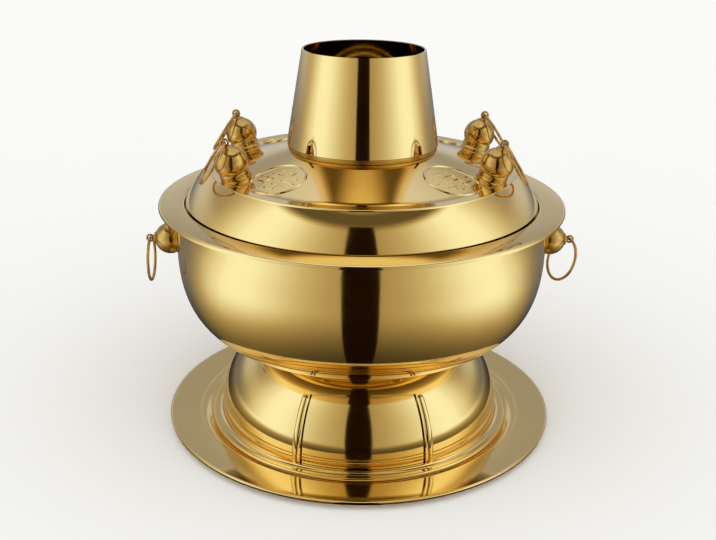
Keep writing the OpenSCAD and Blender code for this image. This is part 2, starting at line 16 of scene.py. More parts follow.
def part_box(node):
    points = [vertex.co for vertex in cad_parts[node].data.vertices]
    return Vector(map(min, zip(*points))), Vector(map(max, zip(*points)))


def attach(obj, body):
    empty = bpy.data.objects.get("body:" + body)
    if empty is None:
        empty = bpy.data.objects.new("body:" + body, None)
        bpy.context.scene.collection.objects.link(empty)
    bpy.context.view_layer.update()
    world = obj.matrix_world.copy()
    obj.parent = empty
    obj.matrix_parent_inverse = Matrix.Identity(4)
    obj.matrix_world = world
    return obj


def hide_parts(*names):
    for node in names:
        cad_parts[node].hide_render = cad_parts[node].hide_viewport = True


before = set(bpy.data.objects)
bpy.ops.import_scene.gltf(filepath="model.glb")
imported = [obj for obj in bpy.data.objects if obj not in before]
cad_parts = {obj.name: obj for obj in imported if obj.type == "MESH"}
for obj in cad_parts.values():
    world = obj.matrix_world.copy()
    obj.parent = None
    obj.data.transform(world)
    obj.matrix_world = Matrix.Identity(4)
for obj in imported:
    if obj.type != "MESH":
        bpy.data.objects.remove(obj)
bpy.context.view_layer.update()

bl_info = {
    "name": "Chimney hot pot finish",
    "version": (1, 0, 0),
    "blender": (4, 5, 0),
    "location": "View3D > Sidebar > Hot pot",
    "description": "Dresses the chimney hot pot in polished gold-coloured sheet and aged brass",
    "category": "Object",
}

MM = 0.001
KNOB_PLACES = {
    "front_right": (-26, -6),
    "back_right": (26, 6),
    "back_left": (154, 174),
    "front_left": (206, 186),
}


def linear(code):
    """Linear RGBA of an sRGB hex colour such as #C89B3C."""
    parts = [int(code[i : i + 2], 16) / 255 for i in (1, 3, 5)]
    return tuple(c / 12.92 if c <= 0.04045 else ((c + 0.055) / 1.055) ** 2.4 for c in parts) + (1.0,)


def top_of(node):
    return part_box(node)[1]


# ---------------------------------------------------------------- sizes and colours a user may change


def length(name, description, default, low=0.0, high=1.0):
    return FloatProperty(
        name=name, description=description, default=default, min=low, max=high, unit="LENGTH"
    )


def factor(name, description, default, high):
    return FloatProperty(
        name=name, description=description, default=default, min=0.0, max=high, subtype="FACTOR"
    )


def colour(name, description, code):
    return FloatVectorProperty(
        name=name, description=description, default=linear(code)[:3], subtype="COLOR", min=0.0, max=1.0
    )


class HotPotSizes(bpy.types.PropertyGroup):
    """Sizes of the visible pieces, which follow the CAD nodes that they stand for."""

    tray_r: length("Tray radius", "Outer radius of the tray", top_of("tray").x, 0.1, 0.3)
    tray_h: length("Tray height", "Height of the tray's flange", top_of("tray").z, 0.002, 0.02)
    brim_r: length("Brim radius", "Outer radius of the bowl's brim", top_of("bowl_brim").x, 0.1, 0.3)
    brim_z: length("Brim height", "Height of the brim's top face", top_of("bowl_brim").z, 0.1, 0.3)
    foot_r: length("Foot radius", "Outer radius of the base's wired foot", top_of("base_foot").x, 0.1, 0.2)
    lid_r: length("Lid radius", "Radius of the lid's lower edge", top_of("lid_side").x, 0.1, 0.2)
    lid_foot_z: length("Lid foot height", "Height of the lid's lower edge", 0.1999, 0.1, 0.3)
    chimney_foot_z: length(
        "Chimney foot height", "Height of the chimney's lower edge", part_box("chimney")[0].z, 0.1, 0.4
    )
    chimney_top_z: length("Chimney height", "Height of the chimney's top", top_of("chimney").z, 0.2, 0.5)
    chimney_r: length(
        "Chimney foot radius", "Radius of the chimney's lower edge", top_of("chimney").x, 0.04, 0.1
    )
    ring_wire: length("Ring wire", "Diameter of the ring wire", 0.0024, 0.001, 0.004)
    ring_r: length("Ring radius", "Mean radius of the rings", 0.01855, 0.01, 0.03)
    relief_h: length("Relief height", "Height of the medallions' raised lines", 0.0009, 0.0002, 0.002)
    relief_w: length("Relief line width", "Width of the medallions' raised lines", 0.0017, 0.0008, 0.004)


class HotPotFinishes(bpy.types.PropertyGroup):
    """Colours and polish of the metals."""

    gold: colour("Gold sheet", "Tint of the mirror-polished sheet", "#F8DA96")
    brass: colour("Aged brass", "Tint of the knobs and rings", "#E0B86C")
    tarnish: colour("Tarnish", "Darker tint in the hollows of the aged brass", "#A3763A")
    inner_gold: colour("Inner gold", "Tint of the brushed inner sheet", "#C39A4C")
    polish: factor("Sheet roughness", "Roughness of the polished sheet", 0.07, 0.5)
    brass_polish: factor("Brass roughness", "Roughness of the aged brass", 0.14, 0.6)


class HotPotStage(bpy.types.PropertyGroup):
    """Studio around the pot."""

    floor: colour("Floor", "Colour of the pale floor", "#FBFBF9")
    camera_turn: FloatProperty(
        name="Camera turn",
        description="Angle of the camera to the left of the pot's front",
        default=math.radians(2.0),
        subtype="ANGLE",
    )
    segments: IntProperty(
        name="Segments", description="Segments around each spun shell", default=288, min=48, max=512
    )


# ---------------------------------------------------------------- outlines in radius and height


def unit(v):
    return v / np.hypot(*v)


def softened(points, radii):
    """Rounds the corners of an open outline. radii has one value per inner point, in the same unit."""
    pts = [np.array(p, float) for p in points]
    out = [pts[0]]
    for i in range(1, len(pts) - 1):
        r = radii[i - 1]
        a, b, c = pts[i - 1], pts[i], pts[i + 1]
        reach = min(r, 0.45 * np.hypot(*(a - b)), 0.45 * np.hypot(*(c - b)))
        if reach < 1e-6:
            out.append(b)
            continue
        start, end = b + unit(a - b) * reach, b + unit(c - b) * reach
        for t in np.linspace(0, 1, 9):
            out.append((1 - t) ** 2 * start + 2 * t * (1 - t) * b + t**2 * end)
    out.append(pts[-1])
    return out


def offset(path, t):
    """The outline moved by t to its left."""
    pts = [np.array(p, float) for p in path]
    sides = []
    for a, b in zip(pts, pts[1:]):
        d = unit(b - a)
        sides.append(np.array([-d[1], d[0]]))
    out = []
    for i, p in enumerate(pts):
        if i == 0 or i == len(pts) - 1:
            out.append(p + t * sides[0 if i == 0 else -1])
        else:
            a, b = sides[i - 1], sides[i]
            out.append(p + t * (a + b) / (1 + a @ b))
    return out


def sheet(path, t):
    """Closed outline of a sheet of thickness t to the left of a path."""
    return list(path) + offset(path, t)[::-1]


def arc(centre, r, start, end, steps):
    return [
        (centre[0] + r * math.cos(math.radians(a)), centre[1] + r * math.sin(math.radians(a)))
        for a in np.linspace(start, end, steps + 1)
    ]


# ---------------------------------------------------------------- meshes


def shade(mesh, sharp_angle=32):
    """Smooth shading with sharp edges above an angle in degrees."""
    mesh.polygons.foreach_set("use_smooth", [True] * len(mesh.polygons))
    mesh.set_sharp_from_angle(angle=math.radians(sharp_angle))


def new_piece(name, vertices, faces, material, sharp_angle=32):
    mesh = bpy.data.meshes.new(name)
    mesh.from_pydata([tuple(v) for v in vertices], [], faces)
    mesh.validate()
    mesh.update()
    obj = bpy.data.objects.new(name, mesh)
    bpy.context.scene.collection.objects.link(obj)
    shade(mesh, sharp_angle)
    mesh.materials.append(material)
    return obj


def spun(name, outline, material, segments, closed=True):
    """Spins a closed outline, given anticlockwise in radius and height and in millimetres, about Z."""
    pts = [np.array(p, float) * MM for p in outline]
    vertices, rows = [], []
    for r, z in pts:
        if r < 1e-7:
            rows.append([len(vertices)] * segments)
            vertices.append((0, 0, z))
        else:
            rows.append(list(range(len(vertices), len(vertices) + segments)))
            for k in range(segments):
                a = 2 * math.pi * k / segments
                vertices.append((r * math.cos(a), r * math.sin(a), z))
    faces = []
    count = len(rows) if closed else len(rows) - 1
    for i in range(count):
        low, high = rows[i], rows[(i + 1) % len(rows)]
        for k in range(segments):
            m = (k + 1) % segments
            ring = [low[k], low[m], high[m], high[k]]
            face = [v for n, v in enumerate(ring) if v not in ring[:n]]
            if len(face) > 2:
                faces.append(face)
    area = sum(a[0] * b[1] - b[0] * a[1] for a, b in zip(pts, pts[1:] + pts[:1]))
    if closed and area < 0:
        faces = [f[::-1] for f in faces]
    return new_piece(name, vertices, faces, material)


def columns(count, marks):
    """Azimuths around a full turn, in degrees, that include every mark."""
    base = [360 * k / count for k in range(count)]
    marks = [m % 360 for m in marks]
    kept = [a for a in base if all(min(abs(a - m), 360 - abs(a - m)) > 0.4 for m in marks)]
    return sorted(kept + marks)


def panelled(name, rows_at, azimuths, skipped, thickness, material, closed=True):
    """A sheet whose rows depend on the azimuth, with some faces left out, given its thickness inwards.
    rows_at(azimuth) gives (radius, height) points in millimetres from the foot up."""
    vertices, grid = [], []
    for a in azimuths:
        column = []
        for r, z in rows_at(a):
            column.append(len(vertices))
            c, s = math.cos(math.radians(a)), math.sin(math.radians(a))
            vertices.append((r * c * MM, r * s * MM, z * MM))
        grid.append(column)
    faces = []
    for j in range(len(azimuths) if closed else len(azimuths) - 1):
        k = (j + 1) % len(azimuths)
        middle = azimuths[j] + ((azimuths[k] - azimuths[j]) % 360) / 2
        for i in range(len(grid[j]) - 1):
            if not skipped(i, middle):
                faces.append((grid[j][i], grid[k][i], grid[k][i + 1], grid[j][i + 1]))
    obj = new_piece(name, vertices, faces, material)
    wall = obj.modifiers.new("Wall", "SOLIDIFY")
    wall.thickness = thickness * MM
    wall.offset = -1
    wall.use_even_offset = True
    wall.use_quality_normals = True
    return baked(obj)


def baked(obj):
    """The object with its modifiers applied to a plain mesh."""
    bpy.context.view_layer.update()
    evaluated = obj.evaluated_get(bpy.context.evaluated_depsgraph_get())
    mesh = bpy.data.meshes.new_from_object(evaluated)
    old = obj.data
    obj.modifiers.clear()
    obj.data = mesh
    mesh.name = obj.name
    bpy.data.meshes.remove(old)
    shade(mesh)
    return obj


def tube(name, path, wire, material, closed=False, sides=20):
    """A round wire along a path of points in metres, with round ends where it is open."""
    pts = [Vector(p) for p in path]
    n = len(pts)
    rings = []
    normal = None
    for i, p in enumerate(pts):
        ahead = pts[(i + 1) % n] if closed or i < n - 1 else p
        behind = pts[i - 1] if closed or i > 0 else p
        t = (ahead - behind).normalized()
        if normal is None:
            normal = t.orthogonal().normalized()
        normal = (normal - t * normal.dot(t)).normalized()
        side = t.cross(normal)
        rings.append((p, t, normal.copy(), side))
    if not closed:
        p, t, u, v = rings[0]
        steps = [math.radians(a) for a in range(15, 90, 15)]
        head = [(p - t * (wire / 2 * math.cos(a)), wire / 2 * math.sin(a), u, v) for a in steps]
        p, t, u2, v2 = rings[-1]
        tail = [(p + t * (wire / 2 * math.cos(a)), wire / 2 * math.sin(a), u2, v2) for a in steps[::-1]]
        body = head + [(p, wire / 2, u, v) for p, t, u, v in rings] + tail
    else:
        body = [(p, wire / 2, u, v) for p, t, u, v in rings]
    vertices, faces = [], []
    for p, r, u, v in body:
        for k in range(sides):
            a = 2 * math.pi * k / sides
            vertices.append(p + (u * math.cos(a) + v * math.sin(a)) * r)
    count = len(body)
    for i in range(count if closed else count - 1):
        j = (i + 1) % count
        for k in range(sides):
            m = (k + 1) % sides
            faces.append((i * sides + k, i * sides + m, j * sides + m, j * sides + k))
    if not closed:
        ends = [(0, pts[0] - rings[0][1] * wire / 2), (count - 1, pts[-1] + rings[-1][1] * wire / 2)]
        for row, tip in ends:
            vertices.append(tip)
            for k in range(sides):
                m = (k + 1) % sides
                face = (row * sides + m, row * sides + k, len(vertices) - 1)
                faces.append(face if row == 0 else face[::-1])
    return new_piece(name, vertices, faces, material, 60)


def joined(name, objects):
    """One object of several, with one material slot per material."""
    vertices, faces, slots, mats = [], [], [], []
    for obj in objects:
        start = len(vertices)
        vertices += [obj.matrix_world @ v.co for v in obj.data.vertices]
        for poly in obj.data.polygons:
            faces.append([start + v for v in poly.vertices])
            mat = obj.data.materials[poly.material_index]
            if mat not in mats:
                mats.append(mat)
            slots.append(mats.index(mat))
    piece = new_piece(name, vertices, faces, mats[0])
    for mat in mats[1:]:
        piece.data.materials.append(mat)
    piece.data.polygons.foreach_set("material_index", slots)
    for obj in objects:
        mesh = obj.data
        bpy.data.objects.remove(obj)
        bpy.data.meshes.remove(mesh)
    return piece


def stand_for(piece, body, slot, *nodes):
    """Makes a piece ride on its body and stand for CAD nodes. slot is not used."""
    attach(piece, body)
    if nodes:
        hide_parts(*nodes)
    return piece


# ---------------------------------------------------------------- materials


def add(tree, kind, inputs=None, **settings):
    """Adds a node with its settings, input values and links."""
    item = tree.nodes.new(kind)
    for key, value in settings.items():
        setattr(item, key, value)
    for key, value in (inputs or {}).items():
        if isinstance(value, bpy.types.NodeSocket):
            tree.links.new(value, item.inputs[key])
        else:
            item.inputs[key].default_value = value
    return item


def blank_material(name):
    material = bpy.data.materials.new(name)
    material.use_nodes = True
    material.node_tree.nodes.clear()
    return material


def noise(tree, place, scale, detail, roughness=0.5):
    inputs = {"Vector": place, "Scale": scale, "Detail": detail, "Roughness": roughness}
    return add(tree, "ShaderNodeTexNoise", inputs).outputs[0]


def bump(tree, height, strength, distance, **others):
    inputs = {"Strength": strength, "Distance": distance, "Height": height, **others}
    return add(tree, "ShaderNodeBump", inputs).outputs[0]


def spread(tree, value, low, high, start, end, **settings):
    """Maps a value from low and high to start and end."""
    inputs = {"Value": value, "From Min": low, "From Max": high, "To Min": start, "To Max": end}
    return add(tree, "ShaderNodeMapRange", inputs, **settings).outputs[0]


def metal(tree, inputs):
    """Ends a material in a metal with these inputs."""
    shader = add(tree, "ShaderNodeBsdfPrincipled", {"Metallic": 1.0, **inputs})
    add(tree, "ShaderNodeOutputMaterial", {"Surface": shader.outputs[0]})


def polished_sheet(name, tint, roughness, line_mm=1.6, line_depth=0.012):
    """Spun gold-coloured sheet metal, buffed to a mirror. Spinning and buffing leave faint rings around the
    axis, which smear each reflection a little up and down."""
    material = blank_material(name)
    tree = material.node_tree
    place = add(tree, "ShaderNodeTexCoord").outputs["Object"]
    split = add(tree, "ShaderNodeSeparateXYZ", {0: place})
    flat = add(tree, "ShaderNodeCombineXYZ", {0: split.outputs[0], 1: split.outputs[1]})
    radius = add(tree, "ShaderNodeVectorMath", {0: flat.outputs[0]}, operation="LENGTH")
    # Real buffing rings are finer than a pixel, so they are drawn line_mm apart.
    rings = add(tree, "ShaderNodeCombineXYZ", {0: radius.outputs["Value"], 2: split.outputs[2]})
    grain = noise(tree, rings.outputs[0], 1 / (line_mm * MM), 3.0, 0.6)
    relief = bump(tree, grain, line_depth, 0.001)
    sag = noise(tree, place, 14.0, 1.0)
    cloud = noise(tree, place, 30.0, 3.0)
    around = add(tree, "ShaderNodeTangent", direction_type="RADIAL", axis="Z")
    metal(
        tree,
        {
            "Base Color": (*tint, 1.0),
            "Roughness": spread(tree, cloud, 0.3, 0.7, roughness * 0.8, roughness * 1.25),
            "Anisotropic": 0.35,
            "Normal": bump(tree, sag, 0.05, 0.004, Normal=relief),
            "Tangent": around.outputs[0],
        },
    )
    return material


def aged_brass(name, tint, tarnish, roughness):
    """Turned brass, lacquered over a dark patina. The patina stays in patches, and where it is thick the
    metal is duller."""
    material = blank_material(name)
    tree = material.node_tree
    place = add(tree, "ShaderNodeTexCoord").outputs["Object"]
    patch = noise(tree, place, 160.0, 5.0, 0.6)
    share = spread(tree, patch, 0.35, 0.7, 0.1, 0.65)
    tints = {"Factor": share, "A": (*tint, 1.0), "B": (*tarnish, 1.0)}
    speck = noise(tree, place, 900.0, 2.0)
    metal(
        tree,
        {
            "Base Color": add(tree, "ShaderNodeMix", tints, data_type="RGBA").outputs[2],
            "Roughness": spread(tree, patch, 0.3, 0.7, roughness * 0.7, roughness * 1.6),
            "Normal": bump(tree, speck, 0.06, 0.0004),
        },
    )
    return material


def plain_metal(name, code, roughness, grit_mm, depth):
    """Metal with an even surface grit: cast iron as sand-cast and blackened, or a zinc-plated nut."""
    material = blank_material(name)
    tree = material.node_tree
    place = add(tree, "ShaderNodeTexCoord").outputs["Object"]
    grit = bump(tree, noise(tree, place, 1 / (grit_mm * MM), 4.0), depth, 0.0005)
    metal(tree, {"Base Color": linear(code), "Roughness": roughness, "Normal": grit})
    return material


def finish(name):
    """The finish of that name, made once from the panel's values."""
    if name not in bpy.data.materials:
        look = bpy.context.scene.hot_pot_finishes
        if name == "Buffed gold sheet":
            polished_sheet(name, tuple(look.gold), look.polish)
        elif name == "Brushed gold sheet":
            polished_sheet(name, tuple(look.inner_gold), 0.22, 2.5, 0.05)
        elif name == "Aged turned brass":
            aged_brass(name, tuple(look.brass), tuple(look.tarnish), look.brass_polish)
        elif name == "Blackened cast iron":
            plain_metal(name, "#2A2826", 0.65, 0.8, 0.5)
        elif name == "Zinc-plated steel":
            plain_metal(name, "#B8B6B0", 0.3, 0.4, 0.1)
    return bpy.data.materials[name]


# ---------------------------------------------------------------- outlines of the pot's own pieces, in mm

# Azimuths, in degrees from +X.
FRONT = -90
QUARTERS = (45, 135, 225, 315)

# Sheet thicknesses.
HEAVY_SHEET = 1.6
LIGHT_SHEET = 1.5
SHUTTER_SHEET = 1.2

# The base's skirt is an arc about this radius and height.
BASE_ARC = (49.0, 8.9)
BASE_ROUND = 74.0
BASE_TOP = 76.8
FOOT_WIRE_R = 1.5

# The window's half width in degrees, its edges' heights and the slope of its top edge.
WINDOW_HALF = 24.6
WINDOW_SILL = 6.5
WINDOW_TOP = 60.0
WINDOW_SLOPE = 21
WINDOW_ROWS = 44

# The ribs' azimuth from the front, their width, and how far their middle lies inside the skirt.
RIB_AT = 26.5
RIB_W = 7.2
RIB_SUNK = 1.9
RIB_ENDS = (8.4, 57.0)

SHUTTER_R = 72.0
SHUTTER_HALF = 28.1

CHIMNEY_TOP_R = 50.3
NOTCH_HEIGHT = 7.0
NOTCH_HALF_W = 2.0


def from_front(azimuth):
    """Degrees between an azimuth and the front."""
    return abs((azimuth - FRONT + 180) % 360 - 180)


def base_angle(z):
    return math.degrees(math.asin((z - BASE_ARC[1]) / BASE_ROUND))


def base_radius(z):
    return BASE_ARC[0] + math.sqrt(BASE_ROUND**2 - (z - BASE_ARC[1]) ** 2)


def window_top(azimuth):
    """Height of the air window's top edge at an azimuth: a flat cut that rises towards the front."""
    away = from_front(azimuth)
    if away >= WINDOW_HALF - 1e-6:
        return WINDOW_TOP
    end = base_radius(WINDOW_TOP) * math.cos(math.radians(WINDOW_HALF))
    z = WINDOW_TOP
    for _ in range(40):
        ahead = base_radius(z) * math.cos(math.radians(away)) - end
        z = WINDOW_TOP + ahead * math.tan(math.radians(WINDOW_SLOPE))
    return z


def bowl_path(sizes):
    """Outside of the bowl from the fire tube to the brim's turned-down edge. The belly is a superellipse
    from the middle of its flat bottom to its widest place."""
    brim_r, brim_z = sizes.brim_r / MM, sizes.brim_z / MM
    flat, wide, low, high, square = 57.8, 156.3, 76.0, 169.3, 2.83
    path = [(61.0, low)]
    for a in np.linspace(87.5, 0, 72):
        c, s = math.cos(math.radians(a)), math.sin(math.radians(a))
        path.append((flat + (wide - flat) * c ** (2 / square), high - (high - low) * s ** (2 / square)))
    neck = (148.6, brim_z - 2.6)
    for a in np.linspace(3, 84, 28):
        c, s = math.cos(math.radians(a)), math.sin(math.radians(a))
        path.append((neck[0] + (wide - neck[0]) * c, high + (neck[1] - high) * s))
    edge, under = brim_r - HEAVY_SHEET, brim_z - HEAVY_SHEET
    corners = [(149.2, brim_z - 2.3), (150.2, under), (edge, under), (edge, brim_z - 3.0)]
    return path + softened(corners, [1.0, 1.3])


# Radius and height of both ends of the lid's sloping top, and its angle.
LID_SLOPE = ((116.0, 226.7), (64.0, 242.0))
SLOPE = math.atan2(LID_SLOPE[1][1] - LID_SLOPE[0][1], LID_SLOPE[0][0] - LID_SLOPE[1][0])


def lid_path(sizes):
    """Outside of the lid from its lower edge to the top of its neck."""
    foot, shoulder = np.array([sizes.lid_r / MM, sizes.lid_foot_z / MM]), np.array([129.2, 226.3])
    along = unit(shoulder - foot)
    out = np.array([along[1], -along[0]])
    bulge, half = 1.2, np.hypot(*(shoulder - foot)) / 2
    r = (half**2 + bulge**2) / (2 * bulge)
    side = []
    for t in np.linspace(-1, 1, 25):
        s = t * half
        side.append((foot + shoulder) / 2 + s * along + (math.sqrt(r * r - s * s) - r + bulge) * out)
    top = softened(
        [
            side[-2], side[-1], (128.6, 227.3), (125, 227.1), *LID_SLOPE,
            (61.2, 242.9), (59.8, 244.3), (59.8, 253),
        ],
        [0.6, 0.9, 2.5, 8.0, 2.0, 1.2, 1.0],
    )
    return side[:-2] + top


def slope_height(r):
    """Height of the lid's top at a radius."""
    (r0, z0), (r1, z1) = LID_SLOPE
    if r > r0:
        return z0 + (r - r0) / (127.9 - r0) * (227.3 - z0)
    return z0 + (r - r0) / (r1 - r0) * (z1 - z0)


# ---------------------------------------------------------------- operators


class HOTPOT_OT_tray(bpy.types.Operator):
    """Make the tray"""

    bl_idname = "hotpot.tray"
    bl_label = "Tray"

    def execute(self, context):
        sizes, stage = context.scene.hot_pot_sizes, context.scene.hot_pot_stage
        r, h = sizes.tray_r / MM, sizes.tray_h / MM
        path = softened(
            [
                (0, HEAVY_SHEET), (133.4, HEAVY_SHEET), (138, 4.2), (142, 4.6), (142.9, 6.0),
                (r - 1.4, h), (r, h - 0.8), (r, h - 2.6),
            ],
            [2.5, 2.5, 0.6, 1.2, 0.8, 0.9],
        )
        outline = sheet(path, -HEAVY_SHEET)
        piece = spun("tray_shell", outline, finish("Buffed gold sheet"), stage.segments)
        stand_for(piece, "tray", "polished_gold", "tray")
        return {"FINISHED"}


class HOTPOT_OT_base(bpy.types.Operator):
    """Make the base with its air window and ribs, and the shutter behind the window"""

    bl_idname = "hotpot.base"
    bl_label = "Base and shutter"

    def execute(self, context):
        sizes, stage = context.scene.hot_pot_sizes, context.scene.hot_pot_stage
        gold = finish("Buffed gold sheet")
        foot_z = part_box("base_foot")[0].z / MM
        foot_r = sizes.foot_r / MM
        foot = softened(
            [
                (foot_r - 1.0, foot_z + FOOT_WIRE_R), (125.6, foot_z + FOOT_WIRE_R),
                (123.1, foot_z + 3.2), (122.98, WINDOW_SILL),
            ],
            [1.5, 2.5],
        )
        sill, top = base_angle(WINDOW_SILL), base_angle(BASE_TOP)

        def rows(azimuth):
            edge = base_angle(window_top(azimuth))
            beside = arc(BASE_ARC, BASE_ROUND, sill, edge, WINDOW_ROWS)
            above = arc(BASE_ARC, BASE_ROUND, edge, top, 14)[1:]
            return foot[:-1] + beside + above

        first = len(foot) - 1

        def in_window(i, azimuth):
            return from_front(azimuth) < WINDOW_HALF and first <= i < first + WINDOW_ROWS

        azimuths = columns(stage.segments, [FRONT - WINDOW_HALF, FRONT + WINDOW_HALF])
        skirt = panelled("base_sheet", rows, azimuths, in_window, LIGHT_SHEET, gold)
        bead = arc((foot_r - FOOT_WIRE_R, foot_z + FOOT_WIRE_R), FOOT_WIRE_R, 0, 340, 17)
        wired_edge = spun("wired_edge", bead, gold, stage.segments)
        ribs = []
        foot_angle, top_angle = (base_angle(z) for z in RIB_ENDS)
        for side in (-1, 1):
            azimuth = math.radians(FRONT + side * RIB_AT)
            path = []
            for r, z in arc(BASE_ARC, BASE_ROUND - RIB_SUNK, foot_angle, top_angle, 60):
                path.append((r * MM * math.cos(azimuth), r * MM * math.sin(azimuth), z * MM))
            ribs.append(tube("rib", path, RIB_W * MM, gold, sides=32))
        piece = joined("base_shell", [skirt, wired_edge] + ribs)
        stand_for(piece, "pot", "polished_gold", "base_skirt", "base_foot")

        low_z, high_z = (v.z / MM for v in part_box("air_shutter"))
        start = math.degrees(math.asin((low_z - BASE_ARC[1]) / SHUTTER_R))
        end = math.degrees(math.asin((high_z - BASE_ARC[1]) / SHUTTER_R))
        plate = panelled(
            "shutter_plate",
            lambda a: arc(BASE_ARC, SHUTTER_R, start, end, 40),
            list(np.linspace(FRONT - SHUTTER_HALF, FRONT + SHUTTER_HALF, 61)),
            lambda i, a: False,
            SHUTTER_SHEET,
            gold,
            closed=False,
        )
        stand_for(plate, "shutter", "polished_gold", "air_shutter")
        return {"FINISHED"}


class HOTPOT_OT_bowl(bpy.types.Operator):
    """Make the bowl with its brim"""

    bl_idname = "hotpot.bowl"
    bl_label = "Bowl"

    def execute(self, context):
        sizes, stage = context.scene.hot_pot_sizes, context.scene.hot_pot_stage
        outline = sheet(bowl_path(sizes), HEAVY_SHEET)
        piece = spun("bowl_shell", outline, finish("Buffed gold sheet"), stage.segments)
        stand_for(piece, "pot", "polished_gold", "bowl_lower", "bowl_bend", "bowl_upper", "bowl_brim")
        return {"FINISHED"}


class HOTPOT_OT_lid(bpy.types.Operator):
    """Make the lid with its relief medallions, the seat ring and the chimney"""

    bl_idname = "hotpot.lid"
    bl_label = "Lid and chimney"

    def execute(self, context):
        sizes, stage = context.scene.hot_pot_sizes, context.scene.hot_pot_stage
        gold, dull = finish("Buffed gold sheet"), finish("Brushed gold sheet")
        shell = spun("lid_sheet", sheet(lid_path(sizes), LIGHT_SHEET), gold, stage.segments)
        piece = joined("lid_dome", [shell] + [medallion(a, sizes, gold) for a in QUARTERS])
        stand_for(piece, "lid", "polished_gold", "lid_side", "lid_top", "lid_neck")

        low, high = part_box("chimney_seat_ring")
        seat_r, seat_foot, seat_top = high.x / MM, low.z / MM, high.z / MM
        band = softened(
            [
                (59.9, seat_foot + 1.4), (61.0, seat_foot + 0.6), (seat_r, seat_foot),
                (seat_r, seat_top), (59.9, seat_top),
            ],
            [0.4, 0.5, 0.6],
        )
        ring = spun("seat_band", band, dull, stage.segments)
        stand_for(ring, "lid", "dull_gold", "chimney_seat_ring")

        foot_z, foot_r = sizes.chimney_foot_z / MM, sizes.chimney_r / MM
        tall = sizes.chimney_top_z / MM - foot_z
        notch_half = math.degrees(NOTCH_HALF_W / foot_r)
        between = np.linspace(NOTCH_HEIGHT, tall - 0.5, 40)[1:]
        heights = [0.0, 0.25, NOTCH_HEIGHT, *between, tall - 0.15, tall]

        def rows(azimuth):
            return [(foot_r + (CHIMNEY_TOP_R - foot_r) * h / tall, foot_z + h) for h in heights]

        def in_notch(i, azimuth):
            return i < 2 and any(abs(azimuth - n) < notch_half for n in QUARTERS)

        marks = [n + side * notch_half for n in QUARTERS for side in (-1, 1)]
        azimuths = columns(stage.segments, marks)
        pipe = panelled("chimney_pipe", rows, azimuths, in_notch, LIGHT_SHEET, gold)
        stand_for(pipe, "chimney", "polished_gold", "chimney")
        return {"FINISHED"}


# Radius of the medallions, of their border's outside, and of the circle of their centres, in metres.
MEDALLION_R = 0.0240
BORDER_R = 0.0235
MEDALLION_AT = 0.096


def relief(x, y, sizes):
    """Height of the medallion's relief, 0 to 1: a raised border around a fret of bars, the same from both
    sides. x and y are in metres from its centre, y along the bars."""
    w = sizes.relief_w / 2
    outer = BORDER_R - w
    field = BORDER_R - 2.2 * 2 * w
    pitch = field / 3

    def line(d):
        """1 on the line's crest, falling off smoothly to 0 past its edge."""
        t = np.clip((d - 0.35 * w) / (0.95 * w), 0, 1)
        return 1 - t * t * (3 - 2 * t)

    def bar(ax, ay, bx, by):
        px, py = x - ax, y - ay
        dx, dy = bx - ax, by - ay
        t = np.clip((px * dx + py * dy) / max(dx * dx + dy * dy, 1e-12), 0, 1)
        return line(np.hypot(px - t * dx, py - t * dy))

    h = line(np.abs(np.hypot(x, y) - outer))
    for side in (-1, 1):
        h = np.maximum(h, bar(side * 2 * pitch, -0.35 * field, side * 2 * pitch, 0.35 * field))
        h = np.maximum(h, bar(side * pitch, -0.75 * field, side * pitch, 0.75 * field))
        for row in (-1, 1):
            h = np.maximum(h, bar(0, row * 0.35 * field, side * 2 * pitch, row * 0.35 * field))
    return np.maximum(h, bar(0, -0.9 * field, 0, 0.9 * field))


def medallion(azimuth, sizes, material):
    """Round relief that follows the lid's slope, pressed up out of the sheet."""
    turn = math.radians(azimuth)
    place = Euler((0, SLOPE, turn)).to_matrix()
    centre = Vector((MEDALLION_AT * math.cos(turn), MEDALLION_AT * math.sin(turn), 0))
    rings, spokes = 96, 192
    vertices, faces = [], []
    for i in range(rings + 1):
        rho = MEDALLION_R * max(i, 0.02) / rings
        for k in range(spokes):
            a = 2 * math.pi * k / spokes
            x, y = rho * math.cos(a), rho * math.sin(a)
            p = centre + place @ Vector((x, y, 0))
            r = math.hypot(p.x, p.y)
            lift = float(relief(np.array(x), np.array(y), sizes)) * sizes.relief_h
            lift += 0.00004 if i < rings else -0.0002
            z = slope_height(r / MM) * MM + lift / math.cos(SLOPE)
            vertices.append((p.x, p.y, z))
    for i in range(rings):
        for k in range(spokes):
            m = (k + 1) % spokes
            faces.append((i * spokes + k, (i + 1) * spokes + k, (i + 1) * spokes + m, i * spokes + m))
    faces.append(tuple(range(spokes)))
    return new_piece("medallion", vertices, faces, material, 60)


# Where the lid's knobs meet the sheet, and how the ball and the eye's centre stand above it.
KNOB_R, KNOB_Z = 112.5, 227.73
BALL_R = 13.3
BALL_UP = 14.4
EYE_OVER_BALL = BALL_R + 0.8 + 1.8 + 1.9 - 0.5
EYE_UP = BALL_UP + EYE_OVER_BALL
EYE_R, EYE_WIRE = 2.8, 1.8
# From the end of a side handle's eye back to the eye's centre, and the handles' height in metres.
EYE_HALF = EYE_R + EYE_WIRE / 2
HANDLE_Z = 0.1615


